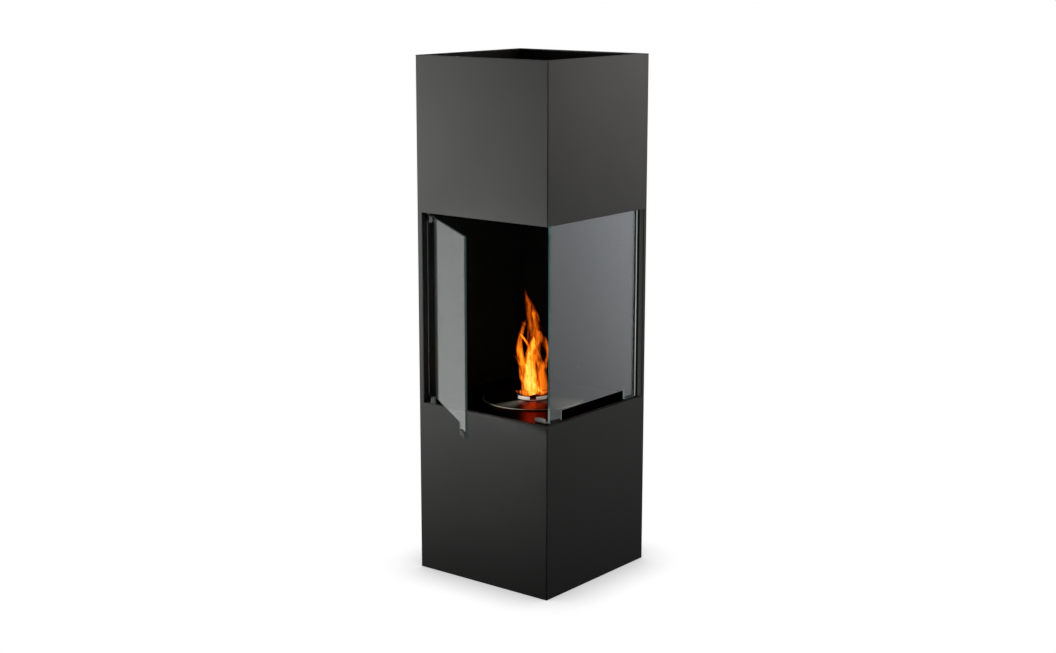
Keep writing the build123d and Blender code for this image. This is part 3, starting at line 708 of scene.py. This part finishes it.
def makeDisc(s):
    low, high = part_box("burner_disc")
    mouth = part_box("mouth_collar")[1].x + s["mouthGap"]
    rim, top, bend = high.x, high.z, s["rimRadius"]
    under, inside = top - s["sheet"], rim - s["sheet"]
    corner = [(rim - bend + bend * math.sin(angle), top - bend + bend * math.cos(angle))
              for angle in [math.pi / 2 * step / s["cornerSteps"] for step in range(s["cornerSteps"] + 1)]]
    profile = [(mouth, under), (mouth, top)] + corner + [(rim, low.z), (inside, low.z), (inside, under)]
    shape = bmesh.new()
    rings = [[shape.verts.new((radius * math.cos(turn), radius * math.sin(turn), z)) for radius, z in profile]
             for turn in [2 * math.pi * step / s["turnSteps"] for step in range(s["turnSteps"])]]
    for ring, following in zip(rings, rings[1:] + rings[:1]):
        for index in range(len(profile)):
            after = (index + 1) % len(profile)
            shape.faces.new((ring[index], following[index], following[after], ring[after]))
    bmesh.ops.recalc_face_normals(shape, faces=shape.faces)
    for face in shape.faces:
        face.smooth = True
    for edge in shape.edges:
        edge.smooth = edge.calc_face_angle(0) < edgeAngle
    addPiece("burnerDisc", shape, [discSteel], "burner", "stainless", "burner_disc")


makeDisc(discSet)
print("metal pieces made")


# screws and nuts, by Geometry Nodes

fastenerSet = {
    # node: (body, slot, sides, head radius, head height, socket radius, is a nut)
    "liner_screws": ("column", "inner_paint", 6, 0.0030, 0.0018, 0.0002, False),
    "catch_screws": ("column", "zinc", 24, 0.0030, 0.0018, 0.0013, False),
    "glass_screws": ("column", "zinc", 24, 0.0045, 0.0028, 0.0020, False),
    "clamp_screws": ("door", "hinge_metal", 24, 0.0030, 0.0018, 0.0013, False),
    "wrap_nuts": ("column", "zinc", 6, 0.0046, 0.0040, 0.0025, True),
}
headSet = {
    # shares of the head's height, then of its radius
    "crown": 0.25,
    "socketDepth": 0.65,
    "crownTop": 0.84,
}
doorTurn = math.radians(-35.6)     # how far the door stands open at rest
endDepth = 0.0003                  # metres; points closer than this to a screw's end are on it


def islandsOf(nodeName):
    # the separate solids of a node, as lists of points
    shape = copyOf(nodeName)
    reached = set()
    islands = []
    for start in shape.verts:
        if start in reached:
            continue
        reached.add(start)
        island = [start]
        for vert in island:        # the list grows while it is walked
            for edge in vert.link_edges:
                other = edge.other_vert(vert)
                if other not in reached:
                    reached.add(other)
                    island.append(other)
        islands.append([vert.co.copy() for vert in island])
    shape.free()
    return islands


def fastenerPlace(points, isNut):
    # where a head stands and which way it faces: it is on the axis, which is the longest way through a screw
    # and the shortest through a nut, at a screw's wider end or at a nut's end towards the column's middle
    def length(way):
        reaches = [point.dot(way) for point in points]
        return max(reaches) - min(reaches)

    doorWay = Vector((-math.sin(doorTurn), math.cos(doorTurn), 0))
    ways = [Vector((1, 0, 0)), Vector((0, 1, 0)), Vector((0, 0, 1)), doorWay]
    axis = (min if isNut else max)(ways, key=length)
    middle = sum(points, Vector()) / len(points)
    ends = []
    for way in (-axis, axis):
        reach = max(point.dot(way) for point in points)
        place = middle + way * (reach - middle.dot(way))
        width = max((point - place).length for point in points if point.dot(way) > reach - endDepth)
        ends.append((place, way, width))
    if isNut:
        place, way, width = min(ends, key=lambda end: end[0].xy.length)
    else:
        place, way, width = max(ends, key=lambda end: end[2])
    return place, way


def headTree(s):
    # a head with a crown and a socket, stood on every point and turned to the way it faces
    tree = bpy.data.node_groups.new("fasteners", "GeometryNodeTree")
    inputs = {"Geometry": "Geometry", "Head Radius": "Float", "Head Height": "Float", "Socket Radius": "Float",
              "Sides": "Int", "Finish": "Material"}
    for name, kind in inputs.items():
        tree.interface.new_socket(name, in_out="INPUT", socket_type="NodeSocket" + kind)
    tree.interface.new_socket("Geometry", in_out="OUTPUT", socket_type="NodeSocketGeometry")
    g = Nodes(tree)
    points, radius, height, socketRadius, sides, finish = g.others(g.node("NodeGroupInput"), inputs)

    def at(part, share):
        place = g.node("ShaderNodeCombineXYZ", {}, {"Z": height * share})
        return g.node("GeometryNodeTransform", {}, {"Geometry": part, "Translation": place})

    stem = g.node("GeometryNodeMeshCylinder", {},
                  {"Vertices": sides, "Radius": radius, "Depth": height * (1 - s["crown"])}, "Mesh")
    crown = g.node("GeometryNodeMeshCone", {},
                   {"Vertices": sides, "Radius Top": radius * s["crownTop"], "Radius Bottom": radius,
                    "Depth": height * s["crown"]}, "Mesh")
    solids = [at(stem, -(1 + s["crown"]) / 2), at(crown, -s["crown"])]
    head = g.node("GeometryNodeMeshBoolean", {"operation": "UNION"}, {"Mesh 2": solids}, "Mesh")
    socket = g.node("GeometryNodeMeshCylinder", {},
                    {"Vertices": 6, "Radius": socketRadius, "Depth": height * (2 * s["socketDepth"])}, "Mesh")
    cut = g.node("GeometryNodeMeshBoolean", {"operation": "DIFFERENCE"},
                 {"Mesh 1": head, "Mesh 2": socket}, "Mesh")
    facing = g.node("GeometryNodeInputNamedAttribute", {"data_type": "FLOAT_VECTOR"}, {"Name": "facing"})
    turned = g.node("FunctionNodeAlignRotationToVector", {"axis": "Z"}, {"Vector": facing})
    placed = g.node("GeometryNodeInstanceOnPoints", {}, {"Points": points, "Instance": cut, "Rotation": turned})
    real = g.node("GeometryNodeRealizeInstances", {}, {"Geometry": placed})
    done = g.node("GeometryNodeSetMaterial", {}, {"Geometry": real, "Material": finish})
    g.node("NodeGroupOutput", {}, {"Geometry": done})
    return tree


def makeFasteners(tree, nodeName, body, slotName, sides, radius, height, socketRadius, isNut):
    places = [fastenerPlace(points, isNut) for points in islandsOf(nodeName)]
    mesh = bpy.data.meshes.new(nodeName + "Points")
    mesh.from_pydata([place for place, way in places], [], [])
    facing = mesh.attributes.new("facing", "FLOAT_VECTOR", "POINT")
    for index, (place, way) in enumerate(places):
        facing.data[index].vector = way
    points = bpy.data.objects.new(nodeName + "Points", mesh)
    bpy.context.collection.objects.link(points)
    nodes = points.modifiers.new("fasteners", "NODES")
    nodes.node_group = tree
    values = {"Head Radius": radius, "Head Height": height, "Socket Radius": socketRadius,
              "Sides": sides, "Finish": finishes[slotName]}
    for item in tree.interface.items_tree:
        if item.in_out == "INPUT" and item.name in values:
            nodes[item.identifier] = values[item.name]
    points.update_tag()
    bpy.context.view_layer.update()
    solid = bpy.data.meshes.new_from_object(points.evaluated_get(bpy.context.evaluated_depsgraph_get()))
    bpy.data.objects.remove(points)
    shape = bmesh.new()
    shape.from_mesh(solid)
    for face in shape.faces:
        face.material_index = 0        # the tree leaves an empty slot before the finish
    addPiece(nodeName + "Heads", shape, [finishes[slotName]], body, slotName, nodeName)


fastenerTree = headTree(headSet)
for name, values in fastenerSet.items():
    makeFasteners(fastenerTree, name, *values)
print("fasteners made")


# flame: soft-edged blades of fire that stand round the mouth and cross each other

flameSet = {
    "facing": -51.9,       # degrees from +X: the side on which the outline was studied
    "steps": 28,           # rings along a blade
    "sides": 20,           # points round a blade
    "fatness": 0.55,       # thickness over width
    "thinnest": 0.2,       # half width in mm
    "edgeHeat": -0.32,     # how much cooler a blade's edges are than its middle
    "edgeVeil": 0.25,      # the veil at the edges, as a share of that in the middle
    "tipFade": (6, 0.15),  # how fast the veil comes up from the tip, and what is left there
    "blades": {
        # name: (depth towards the room, heat at the foot, heat at the tip, veil, path),
        # and the path has (sideways, height, half width) for each of its points; lengths in mm
        "tall": (-8, 0.32, 0.14, 0.78, [
            (5, 500, 15), (2, 537, 17), (4, 565, 17.5), (3, 596, 16.5), (-4, 624, 13), (-12, 649, 7.5),
            (-16.6, 666, 3.2), (-18.1, 680, 0.3)]),
        "left": (4, 0.55, 0.25, 0.75, [
            (-16, 470, 10), (-23, 495, 9.5), (-29, 518, 8.8), (-32.3, 538, 8.8), (-31, 556, 6.5),
            (-27, 572, 6), (-23, 587, 5.2), (-19.5, 598, 3.4), (-15.5, 609, 0.3)]),
        "curl": (4, 0.35, 0.2, 0.7, [(-17, 594, 2.5), (-20, 597.5, 2.2), (-24, 599, 1.4), (-28.4, 597, 0.3)]),
        "wisp": (6, 0.4, 0.1, 0.6, [
            (-22, 484, 4.5), (-28, 493, 4), (-34, 504, 3.2), (-39, 512.5, 2.1), (-44.5, 520, 0.3)]),
        "lowLeft": (2, 0.5, 0.15, 0.65, [
            (-20, 452, 6.5), (-26, 464, 6), (-29, 474, 4.2), (-31.3, 484, 2.5), (-33.8, 493, 0.3)]),
        "core": (10, 0.92, 0.74, 0.95, [
            (2, 426, 17), (-2, 442, 18.5), (-5, 460, 17), (-6.5, 487, 11), (-6.8, 512, 8.2),
            (-5.5, 534, 7.8), (0, 549, 7), (2.8, 559, 3.6), (1.5, 567, 0.3)]),
        "fork": (10, 0.8, 0.6, 0.8, [(-1, 535, 4.9), (4, 542, 4.5), (9, 549, 3.2), (13.5, 556, 0.3)]),
        "arch": (8, 0.72, 0.55, 0.8, [
            (-4, 524, 3.4), (-7.5, 536, 3.6), (-12, 547, 3.3), (-19.5, 559.5, 3), (-26.5, 568, 2.7),
            (-30.5, 574, 0.3)]),
        "right": (0, 0.52, 0.32, 0.85, [
            (20, 428, 12), (22, 445, 13), (22, 464, 12.3), (22, 482, 10.8), (30, 501, 6.5), (36, 516, 4.5),
            (34.8, 534, 6.5), (26.5, 553, 9.8), (16, 571, 6.6), (8.7, 587, 2.7), (4.3, 597, 0.3)]),
        "body": (-4, 0.55, 0.36, 0.90, [
            (3, 426, 30), (4.5, 442, 32), (4.5, 460, 30), (2.5, 482, 27), (1, 506, 23), (0, 531, 14.5),
            (-1, 552, 5), (-1, 562, 0.3)]),
        "streak": (14, 1.0, 1.0, 0.9, [
            (-16, 500, 1), (-13, 488, 4), (-7, 468, 6.5), (2, 451, 7.8), (13, 438, 5.5), (26.5, 428, 0.6)]),
        "footLeft": (22, 0.34, 0.14, 0.85, [
            (-6, 428, 8), (-18, 431, 8), (-29, 433, 6), (-37, 435, 3.5), (-43, 437, 0.3)]),
        "footRight": (16, 0.34, 0.14, 0.85, [
            (6, 427, 8), (20, 430, 8), (31, 433, 6), (38, 436, 3), (43, 439, 0.3)]),
    },
}
flameGlowSet = {
    "colours": [
        # how warm it is, and its colour
        (0.0, (0.05, 0.003, 0.0)), (0.18, (0.17, 0.017, 0.0008)), (0.36, (0.36, 0.055, 0.002)),
        (0.55, (0.62, 0.12, 0.004)), (0.74, (1.0, 0.24, 0.008)), (1.0, (1.6, 0.44, 0.07)),
    ],
    "strength": 2.0,
    "warpScale": 34.0,
    "warpStretch": (1, 1, 0.45),
    "warp": (0.022, 0.022, 0.022),             # how far the pattern is bent, in metres
    "flow": (1, 1, 0.10),                      # the pattern's stretch upwards
    "scales": (150.0, 60.0, 75.0),             # of licks, waves and folds
    "threadWidth": 0.0010,                     # a thread runs where a fold's square is below this
    "warmShares": (1.0, 1.7, 0.12),            # of licks, waves and threads
    "coverShares": (0.5, 1.4, 0.4, 0.1),       # of licks, waves, heat and threads
    "cover": (-0.06, 0.32, 0.10, 1.0),         # from almost clear to all of the veil
}


def makeFlameFinish(s):
    f = Finish("flameGlow")
    heat, veil = [f.node("ShaderNodeAttribute", {"attribute_name": name}, out="Fac")
                  for name in ("fireHeat", "fireVeil")]
    warp = f.noise(s["warpScale"], vector=f.stretched(s["warpStretch"]), out="Color")
    bent = f.node("ShaderNodeVectorMath", {"operation": "MULTIPLY_ADD"},
                  {0: warp, 1: s["warp"], 2: f.stretched(s["flow"])})
    lickScale, waveScale, foldScale = s["scales"]
    lick = f.noise(lickScale, vector=bent) - 0.5
    wave = f.noise(waveScale, vector=bent) - 0.5
    fold = f.noise(foldScale, 1.0, vector=bent) - 0.5
    thread = f.spread(fold * fold, 0.0, s["threadWidth"], 1.0, 0.0)
    warm, thick = s["warmShares"], s["coverShares"]
    warmth = heat + lick * warm[0] + wave * warm[1] + thread * warm[2]
    density = lick * thick[0] + wave * thick[1] + heat * thick[2] + thread * thick[3]
    return f.surface(Base_Color=black, Roughness=1.0, Specular_IOR_Level=0.0,
                     Emission_Color=f.ramp(warmth, s["colours"]), Emission_Strength=s["strength"],
                     Alpha=veil * f.spread(density, *s["cover"]))


def smoothPath(points, steps):
    # a curve through the points, by four neighbours at a time
    path = []
    last = len(points) - 1
    for step in range(steps + 1):
        place = step / steps * last
        index = min(int(place), last - 1)
        t = place - index
        a, b, c, d = [Vector(points[min(max(index + k, 0), last)]) for k in (-1, 0, 1, 2)]
        curve = 2 * b + (c - a) * t + (2 * a - 5 * b + 4 * c - d) * t ** 2
        path.append(0.5 * (curve + (3 * b - a - 3 * c + d) * t ** 3))
    return path


def addBlade(shape, heatLayer, veilLayer, s, depth, footHeat, tipHeat, veil, points):
    turn = Matrix.Rotation(math.radians(s["facing"] + 90), 3, "Z")    # sideways along X, depth along -Y
    path = smoothPath(points, s["steps"])
    fadeRate, tipShare = s["tipFade"]
    millimetre = 0.001
    rings = []
    for index, here in enumerate(path):
        before, after = path[max(index - 1, 0)], path[min(index + 1, len(path) - 1)]
        along = Vector((after.x - before.x, 0, after.y - before.y)).normalized()
        across = Vector((along.z, 0, -along.x))
        half = max(here.z, s["thinnest"])
        share = index / (len(path) - 1)
        ring = []
        for side in range(s["sides"]):
            angle = 2 * math.pi * side / s["sides"]
            lean = math.cos(angle)
            offset = across * half * lean + Vector((0, -1, 0)) * half * s["fatness"] * math.sin(angle)
            vert = shape.verts.new(turn @ (Vector((here.x, -depth, here.y)) + offset) * millimetre)
            vert[heatLayer] = footHeat + (tipHeat - footHeat) * share + s["edgeHeat"] * lean * lean
            inward = 1 - abs(lean) ** 3
            fade = min(1.0, (1 - share) * fadeRate + tipShare)
            vert[veilLayer] = veil * (s["edgeVeil"] + (1 - s["edgeVeil"]) * inward) * fade
            ring.append(vert)
        rings.append(ring)
    count = s["sides"]
    for low, high in zip(rings, rings[1:]):
        for side in range(count):
            after = (side + 1) % count
            shape.faces.new((low[side], high[side], high[after], low[after]))
    shape.faces.new(rings[0])
    shape.faces.new(reversed(rings[-1]))


def makeFlame(s, glow):
    shape = bmesh.new()
    layerNames = ("fireHeat", "fireVeil")
    for name in layerNames:
        shape.verts.layers.float.new(name)
    heatLayer, veilLayer = [shape.verts.layers.float[name] for name in layerNames]
    for values in s["blades"].values():
        addBlade(shape, heatLayer, veilLayer, s, *values)
    bmesh.ops.recalc_face_normals(shape, faces=shape.faces)
    for face in shape.faces:
        face.smooth = True
    addPiece("flame", shape, [makeFlameFinish(glow)], "burner", "stainless")


makeFlame(flameSet, flameGlowSet)
print("flame made")
